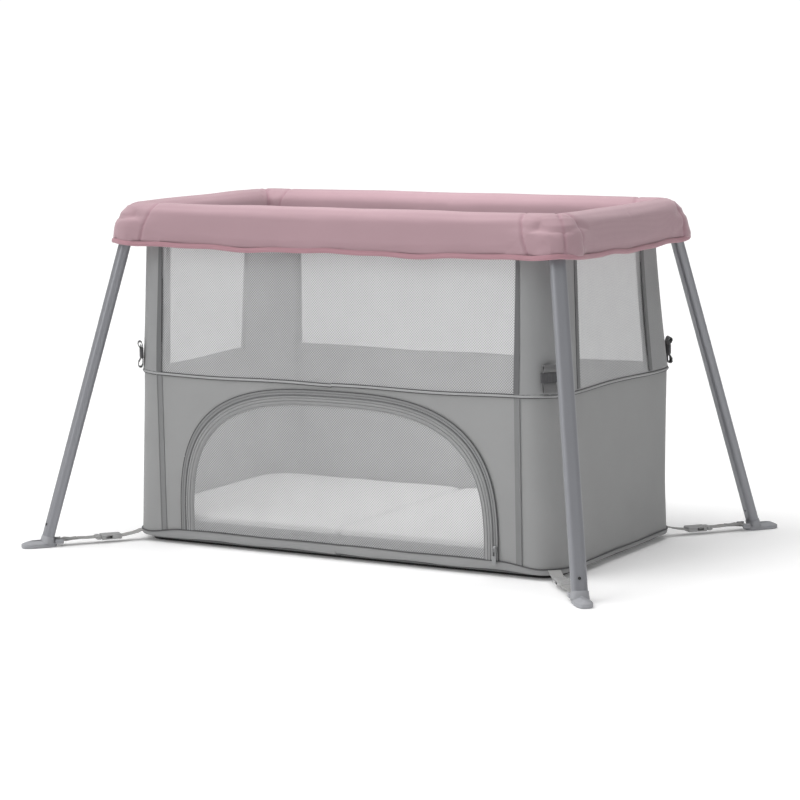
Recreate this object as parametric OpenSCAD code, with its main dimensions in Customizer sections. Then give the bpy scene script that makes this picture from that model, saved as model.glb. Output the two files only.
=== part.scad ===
// Folding travel playpen on four splayed legs: padded rail cover, see-through
// walls, lower fabric walls with an arched door, mattress, floor straps.

/* [Overall] */
// length over the padded rail cover
pen_w = 996; // [800:1:1200]
// depth over the padded rail cover
pen_d = 540; // [430:1:660]
// height to the top of the padded rail cover
pen_h = 660; // [560:1:760]

/* [Rail cover] */
// width of the padded cover
cover_w = 62; // [60:1:76]
// height of the padded cover
cover_h = 80; // [76:1:100]
// thickness of its side skirts
skirt_t = 5; // [3:0.5:8]
// outer corner radius
cover_r = 70; // [60:1:100]

/* [Frame] */
// outside diameter of the rail tubes
rail_od = 22; // [18:0.5:26]
// wall of the rail tubes
rail_wall = 1.5; // [1:0.1:2.5]
// radius of the corner hubs
hub_r = 19; // [17:0.5:20]
// largest width of the leg section
leg_wide = 30; // [24:0.5:32]
// smallest width of the leg section
leg_thin = 20; // [16:0.5:22]
// wall of the leg tubes
leg_wall = 1.6; // [1:0.1:2.5]
// diameter of the leg pivot pins
pin_d = 8; // [5:0.5:10]
// how far the feet stand out beyond the cover, along the length
reach_x = 79; // [40:1:120]
// how far the feet stand out beyond the cover, along the depth
reach_y = 118; // [60:1:150]

/* [Walls] */
// thickness of the fabric walls
wall_t = 1.5; // [1:0.1:2.5]
// height of the seam between the see-through and the lower walls
seam_h = 336; // [260:1:400]
// height of the piping around the base
base_h = 20; // [14:1:40]
// thickness of the piping
piping_d = 6.8; // [4:0.1:8]
// corner radius of the walls
wall_r = 56; // [45:1:70]

/* [Door] */
// width of the arched door at its foot
door_w = 676; // [400:1:720]
// height of the arched door
door_h = 270; // [180:1:275]
// width of the zip tape around the door
tape_w = 9; // [6:0.5:14]

/* [Mattress and straps] */
// thickness of the mattress
mattress_t = 28; // [15:1:50]
// thickness of the stiff boards below the mattress
board_t = 27; // [10:1:30]
// width of the floor straps
strap_w = 24; // [18:1:25]
// length of the padded feet
foot_l = 64; // [55:1:90]

/* [Hidden] */
$fn = 48;
gap = 0.4;            // clearance between soft bodies
half_gap = 0.2;       // the two halves meet at the middle
slab_t = 0.1;         // end slices of a tapered shape
past = 40;            // how far a cutting shape runs past what it cuts
hx = pen_w / 2;
hy = pen_d / 2;
hem_z = pen_h - cover_h;
path_x = hx - cover_w / 2;       // middle line of the cover
path_y = hy - cover_w / 2;
path_r = cover_r - cover_w / 2;
channel_w = cover_w - 2 * skirt_t;
channel_top = pen_h - 15;
rail_r = rail_od / 2;
rail_z = pen_h - 30;
rail_x = hx - 36;
rail_y = hy - 34;
hub_x = hx - 40;
hub_y = hy - 38;
hub_lo = rail_z - 16;
hub_hi = rail_z + 14;
hub_grip = 15;                   // how far a tube's end stands from the hub middle
pivot_z = rail_z - 34;           // leg pivots
pivot_x = hx - 31;
pivot_y = hy - 18;
ankle_z = 12;
ankle_x = hx + reach_x;
ankle_y = hy + reach_y;
fold_z = hem_z + 12;             // middle hinge of the frame
lug_r = 9;
sleeve_r = rail_r + 3;
sleeve_l = 40;
lug_t = 6;
mid_lug_t = 11;
button_r = 5;
button_x = 20;
button_z = fold_z + 15;
mesh_hi = hub_lo - 2;
wall_top_x = hx - 52;
wall_top_y = hy - 20;
wall_mid_x = hx - 45;
wall_mid_y = hy - 8;
wall_low_x = hx - 28;
wall_low_y = hy - 13;
post_x = wall_top_x - 60;        // edges of the corner posts
post_y = wall_top_y - 111;
post_t = 2.2;
mesh_t = 1.2;
seam_gap = piping_d / 2 + 0.6;
door_z = base_h + 22;
door_power = 3;
tray_drop = 14;
tray_z = 1;
tray_t = 2;
board_z = 6;
mattress_z = board_z + board_t + 3;
lean = 3.5;                      // folded legs lie this far out of line
dip = 4;                         // and this far below the level
foot_w = 28;
foot_h = 13;
heel = 16;
eye = 25;                        // strap bar, in from the ankle
eye_z = 11;
bar_r = 2.5;
loop_r = 4.4;
web_t = 1.6;
tongue_s = 72;                   // places along a floor strap, from its bar
socket_s = 81;
socket_l = 41;
socket_w = 27;
socket_t = 10;
leg_top = 8;                     // the leg's end above its pivot
leg_len = norm([ankle_x - pivot_x, ankle_y - pivot_y, pivot_z - ankle_z]);
cheek_in = 14.6;
cheek_t = 3;
clevis_r = 20;
ankle_cup = 12;                  // length of the collar that holds the leg
keeper_turn = 37;                // direction the webbing bundles face
flare_out = [29, 20];            // cover's swelling over a leg pivot, radius low and high
flare_in = [25.5, 24];           // the hollow inside it
foot_dir_x = ankle_x - (wall_low_x - 17);
foot_dir_y = ankle_y - (wall_low_y - 16);
foot_turn = atan2(foot_dir_y, foot_dir_x);
strap_len = norm([foot_dir_x, foot_dir_y]) - eye;
slider_z = door_z + 10;
slider_x = door_w / 2 + tape_w / 2;
slider_y = -wall_y(slider_z) - 0.9;

// wall outline at a height: straight between the hem, the seam and the base
function mix(a, b, t) = a + (b - a) * t;
function up(z) = (z - seam_h) / (hem_z - seam_h);
function down(z) = (seam_h - z) / (seam_h - base_h);
function wall_x(z) = z > seam_h ? mix(wall_mid_x, wall_top_x, up(z))
    : mix(wall_mid_x, wall_low_x, down(z));
function wall_y(z) = z > seam_h ? mix(wall_mid_y, wall_top_y, up(z))
    : mix(wall_mid_y, wall_low_y, down(z));
function unit(v) = v / norm(v);

module rounded(x, y, r) {
    square([2 * x, 2 * (y - r)], center = true);
    square([2 * (x - r), 2 * y], center = true);
    for (sx = [-1, 1], sy = [-1, 1]) translate([sx * (x - r), sy * (y - r)]) circle(r);
}

module slab(z, lo, hi, grow) {
    t = (z - lo) / (hi - lo);
    translate([0, 0, z]) linear_extrude(slab_t) rounded(
        mix(wall_x(lo), wall_x(hi), t) + grow, mix(wall_y(lo), wall_y(hi), t) + grow,
        wall_r + grow);
}

// a band of the wall between two heights and two depths
module wall_band(lo, hi, outside, inside) {
    difference() {
        hull() { slab(lo, lo, hi, outside); slab(hi - slab_t, lo, hi, outside); }
        hull() { slab(lo - past, lo, hi, inside); slab(hi + past, lo, hi, inside); }
    }
}

module side(s) {
    intersection() {
        children();
        translate([s > 0 ? half_gap : -2 * pen_w - half_gap, -pen_w, -1])
            cube([2 * pen_w, 2 * pen_w, 2 * pen_h]);
    }
}

// a constant profile swept around a rounded rectangle; profile drawn at x = 0
module ring(x, y, r) {
    for (k = [0:3]) {
        sx = (k == 0 || k == 3) ? 1 : -1;
        sy = k < 2 ? 1 : -1;
        translate([sx * (x - r), sy * (y - r), 0]) rotate([0, 0, 90 * k])
            rotate_extrude(angle = 90) translate([r, 0]) children();
    }
    for (s = [-1, 1]) {
        translate([s * x, s * (y - r), 0]) rotate([90, 0, s > 0 ? 0 : 180])
            linear_extrude(2 * (y - r)) children();
        translate([-s * (x - r), s * y, 0]) rotate([90, 0, s > 0 ? 90 : -90])
            linear_extrude(2 * (x - r)) children();
    }
}

// ---- frame ----
module tube_x(from, to, y, z) {
    translate([from, y, z]) rotate([0, 90, 0]) difference() {
        cylinder(r = rail_r, h = to - from);
        translate([0, 0, -1]) cylinder(r = rail_r - rail_wall, h = to - from + 2);
    }
}

module long_rail(sx, sy) {
    color("silver") if (sx > 0) tube_x(sleeve_l / 4, hub_x - hub_grip, sy * rail_y, rail_z);
    else tube_x(-hub_x + hub_grip, -sleeve_l / 4, sy * rail_y, rail_z);
}

module end_rail(sx) {
    color("silver") translate([sx * rail_x, hub_y - hub_grip, rail_z]) rotate([90, 0, 0])
        difference() {
            cylinder(r = rail_r, h = 2 * (hub_y - hub_grip));
            translate([0, 0, -1])
                cylinder(r = rail_r - rail_wall, h = 2 * (hub_y - hub_grip) + 2);
        }
}

function leg_down(sx, sy) = unit([sx * (ankle_x - pivot_x), sy * (ankle_y - pivot_y),
    ankle_z - pivot_z]);
function leg_folded(sx, sy) = [-sx * sy * sin(lean), -sy * cos(lean) * cos(dip), -sin(dip)];
function leg_axis(sx, sy) = unit(cross(leg_down(sx, sy), leg_folded(sx, sy)));

// local z runs up the leg, local x along its pivot pin
module at_leg(sx, sy) {
    z = -leg_down(sx, sy);
    x = leg_axis(sx, sy);
    y = cross(z, x);
    multmatrix([[x[0], y[0], z[0], sx * pivot_x], [x[1], y[1], z[1], sy * pivot_y],
        [x[2], y[2], z[2], pivot_z], [0, 0, 0, 1]]) children();
}

module leg_section(grow) {
    w = leg_wide / 2 + grow;
    t = leg_thin / 2 + grow;
    square([2 * (w - t), 2 * t], center = true);
    for (s = [-1, 1]) translate([s * (w - t), 0]) circle(t);
}

// turns the section so that its long side lies along the corner's tangent
function leg_turn(sx, sy) = atan2(
    unit([-sy * reach_y, sx * reach_x, 0]) * cross(-leg_down(sx, sy), leg_axis(sx, sy)),
    unit([-sy * reach_y, sx * reach_x, 0]) * leg_axis(sx, sy));

module hub(sx, sy) {
    color("dimgray") difference() {
        union() {
            translate([sx * hub_x, sy * hub_y, hub_lo])
                cylinder(r = hub_r, h = hub_hi - hub_lo);
            translate([sx * (pivot_x - 1), sy * (pivot_y - 2), hub_lo])
                cylinder(r = clevis_r - 1, h = 9);
            at_leg(sx, sy) intersection() {
                translate([0, 0, -12]) cylinder(r = clevis_r, h = 34);
                for (s = [-1, 1]) translate([s * (cheek_in + cheek_t / 2), 0, 5])
                    cube([cheek_t, 24, 34], center = true);
            }
        }
        translate([sx * (hub_x - hub_grip), sy * rail_y, rail_z])
            rotate([0, -90 * sx, 0]) cylinder(r = rail_r + 0.1, h = 40);
        translate([sx * (hub_x - hub_grip - 1), sy * rail_y, rail_z])
            rotate([0, 90 * sx, 0]) cylinder(r = rail_r + 0.1, h = 1.2);
        translate([sx * rail_x, sy * (hub_y - hub_grip), rail_z])
            rotate([90 * sy, 0, 0]) cylinder(r = rail_r + 0.1, h = 40);
        at_leg(sx, sy) rotate([0, 90, 0])
            cylinder(d = pin_d + 0.2, h = 60, center = true);
    }
    color("gray") at_leg(sx, sy) rotate([0, 90, 0])
        cylinder(d = pin_d, h = 2 * (cheek_in + cheek_t) + 1, center = true);
}

// the left knuckles carry two lugs on each side, the right ones a middle lug
module knuckle(sx, sy) {
    difference() {
        union() {
            translate([sx * 0.3, sy * rail_y, rail_z]) rotate([0, 90 * sx, 0])
                cylinder(r = sleeve_r, h = sleeve_l);
            for (k = sx < 0 ? [-1, 1] : [0]) {
                t = sx < 0 ? lug_t : mid_lug_t;
                y = sy * rail_y + k * (mid_lug_t / 2 + gap + lug_t / 2);
                translate([0, y, fold_z]) rotate([90, 0, 0])
                    cylinder(r = lug_r, h = t, center = true);
                translate([sx > 0 ? 0.3 : -30.3, y - t / 2, fold_z])
                    cube([30, t, rail_z - fold_z - rail_r]);
            }
        }
        translate([sx * sleeve_l / 4, sy * rail_y, rail_z]) rotate([0, 90 * sx, 0])
            cylinder(r = rail_r + 0.1, h = sleeve_l);
        translate([0, sy * rail_y, fold_z]) rotate([90, 0, 0])
            cylinder(r = sx < 0 ? 3.1 : 3.3, h = 40, center = true);
        if (sx < 0) translate([-button_x, sy * (rail_y + mid_lug_t / 2), button_z])
            rotate([-90 * sy, 0, 0]) cylinder(r = button_r + 0.2, h = 20);
    }
    if (sx < 0) translate([0, sy * rail_y, fold_z]) rotate([90, 0, 0])
        cylinder(r = 3, h = mid_lug_t + 2 * lug_t + 2 * gap, center = true);
}

module knuckles(sx) {
    color("dimgray") for (sy = [-1, 1]) knuckle(sx, sy);
}

module lock_button(sy) {
    color("firebrick") translate([-button_x, sy * (rail_y + mid_lug_t / 2 + gap + 1),
        button_z]) rotate([-90 * sy, 0, 0]) cylinder(r = button_r, h = lug_t + 2);
}

// ---- legs and feet ----
// local x points outward along the foot
module at_foot(sx, sy) {
    translate([sx * ankle_x, sy * ankle_y, 0])
        rotate([0, 0, sy * (sx > 0 ? foot_turn : 180 - foot_turn)]) children();
}

module leg(sx, sy) {
    color("silver") difference() {
        at_leg(sx, sy) difference() {
            translate([0, 0, -leg_len + 4]) rotate([0, 0, leg_turn(sx, sy)])
                linear_extrude(leg_len - 4 + leg_top) difference() {
                    leg_section(0);
                    leg_section(-leg_wall);
                }
            rotate([0, 90, 0]) cylinder(d = pin_d + 0.6, h = 60, center = true);
            translate([0, 0, -leg_len + ankle_cup + 18])
                rotate([90, 0, leg_turn(sx, sy)]) cylinder(r = 2, h = 60, center = true);
        }
    }
}

module foot(sx, sy) {
    color("gray") {
        difference() {
            union() {
                at_foot(sx, sy) {
                    linear_extrude(foot_h) {
                        translate([-heel, -foot_w / 2])
                            square([foot_l - foot_w / 2, foot_w]);
                        translate([foot_l - heel - foot_w / 2, 0]) circle(foot_w / 2);
                    }
                    for (s = [-1, 1]) translate([-eye - 5, s > 0 ? strap_w / 2 + 1
                        : -strap_w / 2 - 4, eye_z - 5]) cube([eye - heel + 10, 3, 10]);
                    translate([-heel - 0.5, -strap_w / 2 - 4, 1])
                        cube([6, strap_w + 8, foot_h + 2]);
                }
                at_leg(sx, sy) translate([0, 0, -leg_len]) rotate([0, 0, leg_turn(sx, sy)])
                    linear_extrude(ankle_cup) leg_section(2.4);
            }
            at_leg(sx, sy) translate([0, 0, -leg_len + 3.5])
                rotate([0, 0, leg_turn(sx, sy)]) linear_extrude(ankle_cup + 20)
                    leg_section(0.2);
            translate([0, 0, -50]) linear_extrude(50) square(4 * pen_w, center = true);
        }
        at_foot(sx, sy) translate([-eye, 0, eye_z]) rotate([90, 0, 0])
            cylinder(r = bar_r, h = strap_w + 2, center = true);
    }
}

// ---- floor straps: local x runs from the bar on the foot to the base ----
module at_strap(sx, sy) {
    at_foot(sx, sy) translate([-eye, 0, eye_z]) rotate([0, 0, 180]) children();
}

module strap(sx, sy) {
    color("darkgray") at_strap(sx, sy) difference() {
        union() {
            rotate([90, 0, 0]) cylinder(r = loop_r, h = strap_w, center = true);
            translate([0, -strap_w / 2, -web_t / 2])
                cube([tongue_s - gap, strap_w, web_t]);
        }
        rotate([90, 0, 0]) cylinder(r = bar_r + 0.4, h = 60, center = true);
    }
}

module tongue(sx, sy) {
    prong = [19, 4, 3.6];
    prong_y = 7.5;
    guide = [16, 3, 2.4];
    color("lightgray") at_strap(sx, sy) {
        translate([tongue_s, -strap_w / 2, -4]) cube([socket_s - tongue_s - 1, strap_w, 8]);
        for (s = [-1, 1]) translate([socket_s - 2, s * prong_y - prong.y / 2, -prong.z / 2])
            cube(prong);
        translate([socket_s - 2, -guide.y / 2, -guide.z / 2]) cube(guide);
    }
}

module sockets(sx) {
    color("lightgray") for (sy = [-1, 1]) at_strap(sx, sy) difference() {
        translate([socket_s, -socket_w / 2, -socket_t / 2])
            cube([socket_l, socket_w, socket_t]);
        translate([socket_s - 1, -10.5, -2.8]) cube([22, 21, 5.6]);
        translate([socket_s + socket_l - 12, -strap_w / 2 - 0.3, -2])
            cube([20, strap_w + 0.6, 4]);
    }
}

module strap_tails(sx) {
    color("darkgray") for (sy = [-1, 1]) at_strap(sx, sy)
        translate([socket_s + socket_l - 11, -strap_w / 2, -web_t / 2])
            cube([strap_len - socket_s - socket_l + 9, strap_w, web_t]);
}

// ---- padded rail cover ----
module cover_profile() {
    round_r = 25;
    translate([-cover_w / 2, hem_z]) square([cover_w, cover_h - round_r]);
    translate([-cover_w / 2 + round_r, hem_z])
        square([cover_w - 2 * round_r, cover_h]);
    for (s = [-1, 1]) translate([s * (cover_w / 2 - round_r), pen_h - round_r])
        circle(round_r);
}

module cover(sx) {
    color("rosybrown") side(sx) difference() {
        union() {
            ring(path_x, path_y, path_r) cover_profile();
            for (sy = [-1, 1]) corner_flare(sx, sy, flare_out, hem_z, pen_h - 6);
        }
        ring(path_x, path_y, path_r) translate([-channel_w / 2, hem_z - 1])
            square([channel_w, channel_top - hem_z + 1]);
        for (sy = [-1, 1]) corner_flare(sx, sy, flare_in, hem_z - 2, hub_lo + 11);
    }
}

module corner_flare(sx, sy, radii, lo, hi) {
    intersection() {
        at_leg(sx, sy) translate([0, 0, lo - 12 - pivot_z])
            cylinder(r1 = radii[0], r2 = radii[1], h = hi - lo + 24);
        translate([sx * pivot_x - 60, sy * pivot_y - 60, lo]) cube([120, 120, hi - lo]);
    }
}

// ---- walls ----
module span_x(w) { translate([-w, -pen_w, -1]) cube([2 * w, 2 * pen_w, 2 * pen_h]); }
module span_y(w) { translate([-pen_w, -w, -1]) cube([2 * pen_w, 2 * w, 2 * pen_h]); }

// the see-through wall, cut away round the middle hinges and lock buttons
module mesh_wall(sx) {
    notch = 32;
    color("lightsteelblue") side(sx) difference() {
        intersection() {
            wall_band(seam_h + seam_gap, mesh_hi, 0, -mesh_t);
            union() { span_x(post_x - gap / 2); span_y(post_y - gap / 2); }
        }
        translate([-notch, -pen_d, fold_z - lug_r - 1]) cube([2 * notch, 2 * pen_d, pen_h]);
    }
}

module posts(sx) {
    color("slategray") side(sx) difference() {
        wall_band(seam_h + seam_gap, mesh_hi, 0.5, 0.5 - post_t);
        span_x(post_x + gap / 2);
        span_y(post_y + gap / 2);
    }
}

function arch(w, h) = concat([for (a = [0:5:180]) [
    w * sign(cos(a)) * pow(abs(cos(a)), 2 / door_power), h * pow(sin(a), 2 / door_power)]]);

module arch_block(grow, low) {
    translate([0, -hy / 2, 0]) rotate([90, 0, 0]) linear_extrude(pen_d) intersection() {
        translate([0, door_z]) polygon(arch(door_w / 2 + grow, door_h + grow));
        translate([-pen_w, low]) square([2 * pen_w, pen_h]);
    }
}

module lower_wall(sx) {
    color("gray") side(sx) difference() {
        wall_band(base_h + seam_gap, seam_h - seam_gap, 0, -wall_t);
        arch_block(tape_w + gap, door_z - gap);
    }
}

module zip_tape(sx) {
    color("dimgray") side(sx) difference() {
        intersection() {
            wall_band(base_h + seam_gap, seam_h - seam_gap, 0.9, -wall_t - 0.3);
            arch_block(tape_w, door_z);
        }
        arch_block(gap, 0);
    }
}

module door(sx) {
    color("lightslategray") side(sx) intersection() {
        wall_band(base_h + seam_gap, seam_h - seam_gap, 0, -mesh_t);
        arch_block(-gap, door_z + gap);
    }
}

module piping(sx) {
    color("lightgray") side(sx) {
        ring(wall_mid_x, wall_mid_y, wall_r) translate([0, seam_h]) circle(d = piping_d);
        ring(wall_low_x, wall_low_y, wall_r) translate([0, base_h]) circle(d = piping_d);
    }
}

// folded spare webbing under an elastic band, on each corner above the seam
module keepers(sx) {
    bundle = [5, 26, 52];        // thickness, width and height
    band = [7, 36, 18];
    band_t = 1.5;
    for (sy = [-1, 1])
        translate([sx * (wall_mid_x - wall_r), sy * (wall_mid_y - wall_r), seam_h + 6])
            rotate([0, 0, sy * (sx > 0 ? keeper_turn : 180 - keeper_turn)])
                translate([wall_r + 0.9, 0, 0]) {
                    color("gray") translate([0, -bundle.y / 2, 0]) cube(bundle);
                    color("dimgray") difference() {
                        translate([0, -band.y / 2, 19]) cube(band);
                        translate([-1, band_t - band.y / 2, 10])
                            cube([1 + band.x - band_t, band.y - 2 * band_t, 40]);
                    }
                }
}

// ---- floor ----
module floor_tray(sx) {
    top = base_h - seam_gap;
    slope = tray_drop / (top - tray_z);
    color("gray") side(sx) difference() {
        hull() {
            translate([0, 0, top - slab_t]) linear_extrude(slab_t)
                rounded(wall_low_x, wall_low_y, wall_r);
            translate([0, 0, tray_z]) linear_extrude(slab_t) rounded(
                wall_low_x - tray_drop, wall_low_y - tray_drop, wall_r);
        }
        hull() {
            translate([0, 0, top + tray_z]) linear_extrude(slab_t) rounded(
                wall_low_x - tray_t + slope * tray_z,
                wall_low_y - tray_t + slope * tray_z, wall_r);
            translate([0, 0, 3 * tray_z]) linear_extrude(slab_t) rounded(
                wall_low_x - tray_drop - tray_t + slope * 2 * tray_z,
                wall_low_y - tray_drop - tray_t + slope * 2 * tray_z, wall_r);
        }
    }
}

module board(sx) {
    color("dimgray") side(sx) translate([0, 0, board_z]) linear_extrude(board_t)
        rounded(wall_low_x - 16, wall_low_y - 16, wall_r - 14);
}

module mattress(sx) {
    color("white") side(sx) translate([0, 0, mattress_z]) linear_extrude(mattress_t)
        rounded(wall_low_x - 6, wall_low_y - 6, wall_r - 8);
}

// ---- zip slider and its pull ----
module slider() {
    body = [8, 3, 12];
    color("gray") translate([slider_x, slider_y - 0.5, slider_z]) {
        translate([-body.x / 2, -body.y, -body.z / 2]) cube(body);
        difference() {
            translate([0, -3.4, 2]) rotate([0, 90, 0]) cylinder(r = 2.4, h = 3, center = true);
            translate([0, -3.8, 2]) rotate([0, 90, 0]) cylinder(r = 1, h = 8, center = true);
        }
    }
}

module pull() {
    grip = [9, 2.4, 16];
    color("dimgray") translate([slider_x, slider_y - 4.3, slider_z + 2]) {
        rotate([0, 90, 0]) cylinder(r = 0.7, h = 7, center = true);
        for (s = [-1, 1]) translate([s * 3 - 0.8, -2.6, -14]) cube([1.6, 1.8, 15]);
        for (s = [-1, 1]) translate([s * 3 - 0.8, -1.6, -0.7]) cube([1.6, 1.7, 1.4]);
        translate([-grip.x / 2, -3, -14 - grip.z]) cube(grip);
    }
}

long_rail(-1, -1);  // left_front_rail
long_rail(-1, 1);  // left_back_rail
end_rail(-1);  // left_end_rail
hub(-1, -1);  // left_front_hub
hub(-1, 1);  // left_back_hub
knuckles(-1);  // left_knuckles
cover(-1);  // left_cover
mesh_wall(-1);  // left_mesh
posts(-1);  // left_posts
lower_wall(-1);  // left_lower_wall
piping(-1);  // left_piping
floor_tray(-1);  // left_floor_tray
board(-1);  // left_board
mattress(-1);  // left_mattress
sockets(-1);  // left_sockets
strap_tails(-1);  // left_strap_tails
keepers(-1);  // left_keepers
zip_tape(-1);  // left_zip_tape
long_rail(1, -1);  // right_front_rail
long_rail(1, 1);  // right_back_rail
end_rail(1);  // right_end_rail
hub(1, -1);  // right_front_hub
hub(1, 1);  // right_back_hub
knuckles(1);  // right_knuckles
cover(1);  // right_cover
mesh_wall(1);  // right_mesh
posts(1);  // right_posts
lower_wall(1);  // right_lower_wall
piping(1);  // right_piping
floor_tray(1);  // right_floor_tray
board(1);  // right_board
mattress(1);  // right_mattress
sockets(1);  // right_sockets
strap_tails(1);  // right_strap_tails
keepers(1);  // right_keepers
zip_tape(1);  // right_zip_tape
leg(-1, -1);  // front_left_leg
foot(-1, -1);  // front_left_foot
strap(-1, -1);  // front_left_strap
tongue(-1, -1);  // front_left_tongue
leg(-1, 1);  // back_left_leg
foot(-1, 1);  // back_left_foot
strap(-1, 1);  // back_left_strap
tongue(-1, 1);  // back_left_tongue
leg(1, -1);  // front_right_leg
foot(1, -1);  // front_right_foot
strap(1, -1);  // front_right_strap
tongue(1, -1);  // front_right_tongue
leg(1, 1);  // back_right_leg
foot(1, 1);  // back_right_foot
strap(1, 1);  // back_right_strap
tongue(1, 1);  // back_right_tongue
door(-1);  // door_left
door(1);  // door_right
slider();  // zip_slider
pull();  // zip_pull
lock_button(-1);  // front_lock_button
lock_button(1);  // back_lock_button
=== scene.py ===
import bpy, bmesh, math, random
from mathutils import Vector, Matrix, noise


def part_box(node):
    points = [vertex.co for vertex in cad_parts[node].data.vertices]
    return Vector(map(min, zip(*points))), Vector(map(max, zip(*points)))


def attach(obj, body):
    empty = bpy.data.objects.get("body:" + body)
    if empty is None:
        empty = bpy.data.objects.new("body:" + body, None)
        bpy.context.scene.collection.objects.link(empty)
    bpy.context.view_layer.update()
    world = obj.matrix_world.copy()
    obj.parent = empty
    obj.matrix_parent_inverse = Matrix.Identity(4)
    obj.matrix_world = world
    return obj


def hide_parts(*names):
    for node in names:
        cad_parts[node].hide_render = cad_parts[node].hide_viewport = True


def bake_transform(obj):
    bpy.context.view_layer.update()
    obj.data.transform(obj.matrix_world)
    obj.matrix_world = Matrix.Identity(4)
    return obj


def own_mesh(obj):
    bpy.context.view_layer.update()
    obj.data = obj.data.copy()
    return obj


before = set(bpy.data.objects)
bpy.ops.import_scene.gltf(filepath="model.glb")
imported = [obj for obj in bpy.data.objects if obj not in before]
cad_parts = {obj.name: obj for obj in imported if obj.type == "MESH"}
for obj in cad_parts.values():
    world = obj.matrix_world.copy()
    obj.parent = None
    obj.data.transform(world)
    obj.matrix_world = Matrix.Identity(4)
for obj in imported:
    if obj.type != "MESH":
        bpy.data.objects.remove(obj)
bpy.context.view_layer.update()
random.seed(7)

# ---------------------------------------------------------------- measures, metres
PEN_X, PEN_Y, TOP = 0.498, 0.270, 0.660        # half length, half depth, height
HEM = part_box("left_cover")[0].z                # lower edge of the rail cover
COVER_W, COVER_R = 0.062, 0.070
SEAM, BASE = 0.336, 0.020                      # seam between nets and walls, base piping
FLOOR_SEAM = 0.0305                            # seam between walls and floor
WALL_R = 0.056
TOP_X, TOP_Y = PEN_X - 0.052, PEN_Y - 0.020    # walls at the hem
MID_X, MID_Y = PEN_X - 0.045, PEN_Y - 0.008    # at the seam
LOW_X, LOW_Y = PEN_X - 0.028, PEN_Y - 0.013    # at the base
POST_X, POST_Y = TOP_X - 0.060, TOP_Y - 0.111  # edges of the corner posts
DOOR_W, DOOR_H, DOOR_Z = 0.338, 0.270, 0.042
SIDES = {"left": -1, "right": 1}
DEPTHS = {"front": -1, "back": 1}
BACK_LEAN_X, BACK_LEAN_Y = 0.012, 0.005        # how far the back corners lean out at the seam
BINDING_W = 0.011                              # tapes along the edges of the corner posts
DOOR_GAP = 0.006                               # from the door's edge to the cut in the wall
REACH_X, REACH_Y = 0.079, 0.118                # how far the ankles stand out beyond the cover
ANKLE_H = 0.012
STRAP_BAR = (-0.025, 0, 0.011)                 # bar on the foot, from the ankle on the floor
STRAP_W = 0.0232
SCREW_OUT, SCREW_UP = 0.0104, 0.030            # screw's head, from the leg's axis and its lower end
WAVE_REPEAT = 0.314                            # a wave texture of scale 1 repeats at this distance
TINY = 1e-6


def mix(a, b, t):
    return a + (b - a) * t


def unit(value):
    return max(0.0, min(1.0, value))


def blunt(value, power):
    """Raises a sine or a cosine to a power and keeps its sign, to square off a round outline."""
    return math.copysign(abs(value) ** power, value)


def half_size(z, low, mid, top):
    """Between the values at the base, at the seam and at the hem."""
    if z > SEAM:
        return mix(mid, top, (z - SEAM) / (HEM - SEAM))
    return mix(mid, low, (SEAM - z) / (SEAM - BASE))


def wall_x(z):
    return half_size(z, LOW_X, MID_X, TOP_X)


def wall_y(z):
    return half_size(z, LOW_Y, MID_Y, TOP_Y)


# a half outline runs from the middle of the front (t = 0) round the end to the middle of the back (t = 5)
def outline(side, t, x, y, r, out=0.0):
    k, f = min(int(t), 4), t - min(int(t), 4)
    if k == 0:
        p, n = Vector((f * (x - r), -y)), Vector((0, -1))
    elif k == 4:
        p, n = Vector(((1 - f) * (x - r), y)), Vector((0, 1))
    elif k == 2:
        p, n = Vector((x, mix(-(y - r), y - r, f))), Vector((1, 0))
    else:
        a = math.radians((-90 if k == 1 else 0) + 90 * f)
        n = Vector((math.cos(a), math.sin(a)))
        p = Vector((x - r, -(y - r) if k == 1 else y - r)) + n * r
    p += n * out
    return Vector((side * p.x, p.y)), Vector((side * n.x, n.y))


def corner_lean(y, z):
    """The back corners lean a little further out at the seam."""
    back = unit((y + 0.06) / 0.26)
    return back * back * (3 - 2 * back) * max(0.0, 1 - abs(z - SEAM) / 0.24) ** 1.3


def wall_point(side, t, z, out=0.0):
    p, n = outline(side, t, wall_x(z), wall_y(z), WALL_R, out)
    lean = corner_lean(p.y, z)
    p.y += BACK_LEAN_Y * lean * unit((abs(p.x) - 0.30) / 0.12)
    p.x += BACK_LEAN_X * side * lean * min(1.0, abs(p.x) / 0.40)
    return p, n


def settle(obj):
    """The foot of the walls hangs lower round the ends than below the door."""
    for v in obj.data.vertices:
        z = v.co.z
        side = unit((abs(v.co.x) - 0.350) / 0.085)
        if z < FLOOR_SEAM:
            low = 0.012
            depth = mix(0.0, 0.0018, z / low) if z < low else mix(0.0018, 0.0100, (z - low) / (FLOOR_SEAM - low))
        else:
            depth = 0.0100 * max(0.0, 1 - (z - FLOOR_SEAM) / 0.045)
        v.co.z -= depth * side * side * (3 - 2 * side)


def run_length(t):
    """Length of the seam from the middle of the front to a station."""
    along, turn, across = MID_X - WALL_R, math.pi * WALL_R / 2, 2 * (MID_Y - WALL_R)
    lengths = (along, turn, across, turn, along)
    k = min(int(t), 4)
    return sum(lengths[:k]) + (t - k) * lengths[k]


def stations(per=(26, 9, 16, 9, 26)):
    """Places along a half outline, with so many steps in each of its five stretches."""
    found = [0]
    for k in range(5):
        for i in range(per[k] + 1):
            t = k + i / per[k]
            if found[-1] + TINY < t < 5 - TINY:
                found.append(t)
    return found + [5]


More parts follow.
